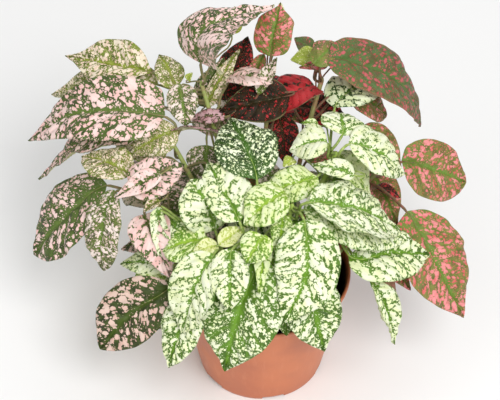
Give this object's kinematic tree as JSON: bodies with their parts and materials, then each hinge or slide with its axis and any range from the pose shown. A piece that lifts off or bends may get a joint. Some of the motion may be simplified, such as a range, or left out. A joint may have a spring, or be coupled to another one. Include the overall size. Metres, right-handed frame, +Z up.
{
  "type": "potted polka dot plant",
  "caption": "Bushy young foliage plant with oval pointed leaves, spotted pink, red and white, on short stems in a tapered plastic nursery pot with compost.",
  "frame": {"origin": "centre of the pot's flat resting face, on the ground", "axes": "+Z up along the pot's axis; -Y towards the front of the plant; +X along the foliage's widest spread, to the right as seen from the front"},
  "size_m": [0.2654, 0.1836, 0.2043],
  "materials": {
    "pink_leaf": "dark green blotched with pale pink, soft satin",
    "pink_stem": "reddish green, soft satin",
    "pot": "satin moulded terracotta-coloured plastic",
    "red_leaf": "olive green spotted with red and rose, soft satin",
    "red_stem": "dark red, soft satin",
    "soil": "dark damp peat compost",
    "white_leaf": "cream white spotted with green, soft satin",
    "white_stem": "lime green, soft satin"
  },
  "bodies": {
    "root": {"pink_a_leaf_1": "pink_leaf", "pink_a_leaf_2": "pink_leaf", "pink_a_leaf_3": "pink_leaf", "pink_a_leaf_4": "pink_leaf", "pink_a_leaf_5": "pink_leaf", "pink_a_leaf_6": "pink_leaf", "pink_a_stem": "pink_stem", "pink_b_leaf_1": "pink_leaf", "pink_b_leaf_2": "pink_leaf", "pink_b_stem": "pink_stem", "pink_c_leaf_1": "pink_leaf", "pink_c_leaf_2": "pink_leaf", "pink_c_leaf_3": "pink_leaf", "pink_c_leaf_4": "pink_leaf", "pink_c_leaf_5": "pink_leaf", "pink_c_leaf_6": "pink_leaf", "pink_c_stem": "pink_stem", "pot": "pot", "red_a_leaf_1": "red_leaf", "red_a_leaf_2": "red_leaf", "red_a_leaf_3": "red_leaf", "red_a_stem": "red_stem", "red_b_leaf_1": "red_leaf", "red_b_leaf_2": "red_leaf", "red_b_leaf_3": "red_leaf", "red_b_leaf_4": "red_leaf", "red_b_leaf_5": "red_leaf", "red_b_stem": "red_stem", "red_c_leaf_1": "red_leaf", "red_c_leaf_2": "red_leaf", "red_c_leaf_3": "red_leaf", "red_c_stem": "red_stem", "soil": "soil", "white_a_leaf_1": "white_leaf", "white_a_leaf_2": "white_leaf", "white_a_leaf_3": "white_leaf", "white_a_leaf_4": "white_leaf", "white_a_leaf_5": "white_leaf", "white_a_stem": "white_stem", "white_b_leaf_1": "white_leaf", "white_b_leaf_2": "white_leaf", "white_b_leaf_3": "white_leaf", "white_b_leaf_4": "white_leaf", "white_b_leaf_5": "white_leaf", "white_b_stem": "white_stem", "white_c_leaf_1": "white_leaf", "white_c_leaf_2": "white_leaf", "white_c_leaf_3": "white_leaf", "white_c_leaf_4": "white_leaf", "white_c_leaf_5": "white_leaf", "white_c_stem": "white_stem", "white_d_leaf_1": "white_leaf", "white_d_leaf_2": "white_leaf", "white_d_leaf_3": "white_leaf", "white_d_leaf_4": "white_leaf", "white_d_leaf_5": "white_leaf", "white_d_leaf_6": "white_leaf", "white_d_leaf_7": "white_leaf", "white_d_leaf_8": "white_leaf", "white_d_stem": "white_stem"}
  },
  "joints": []
}
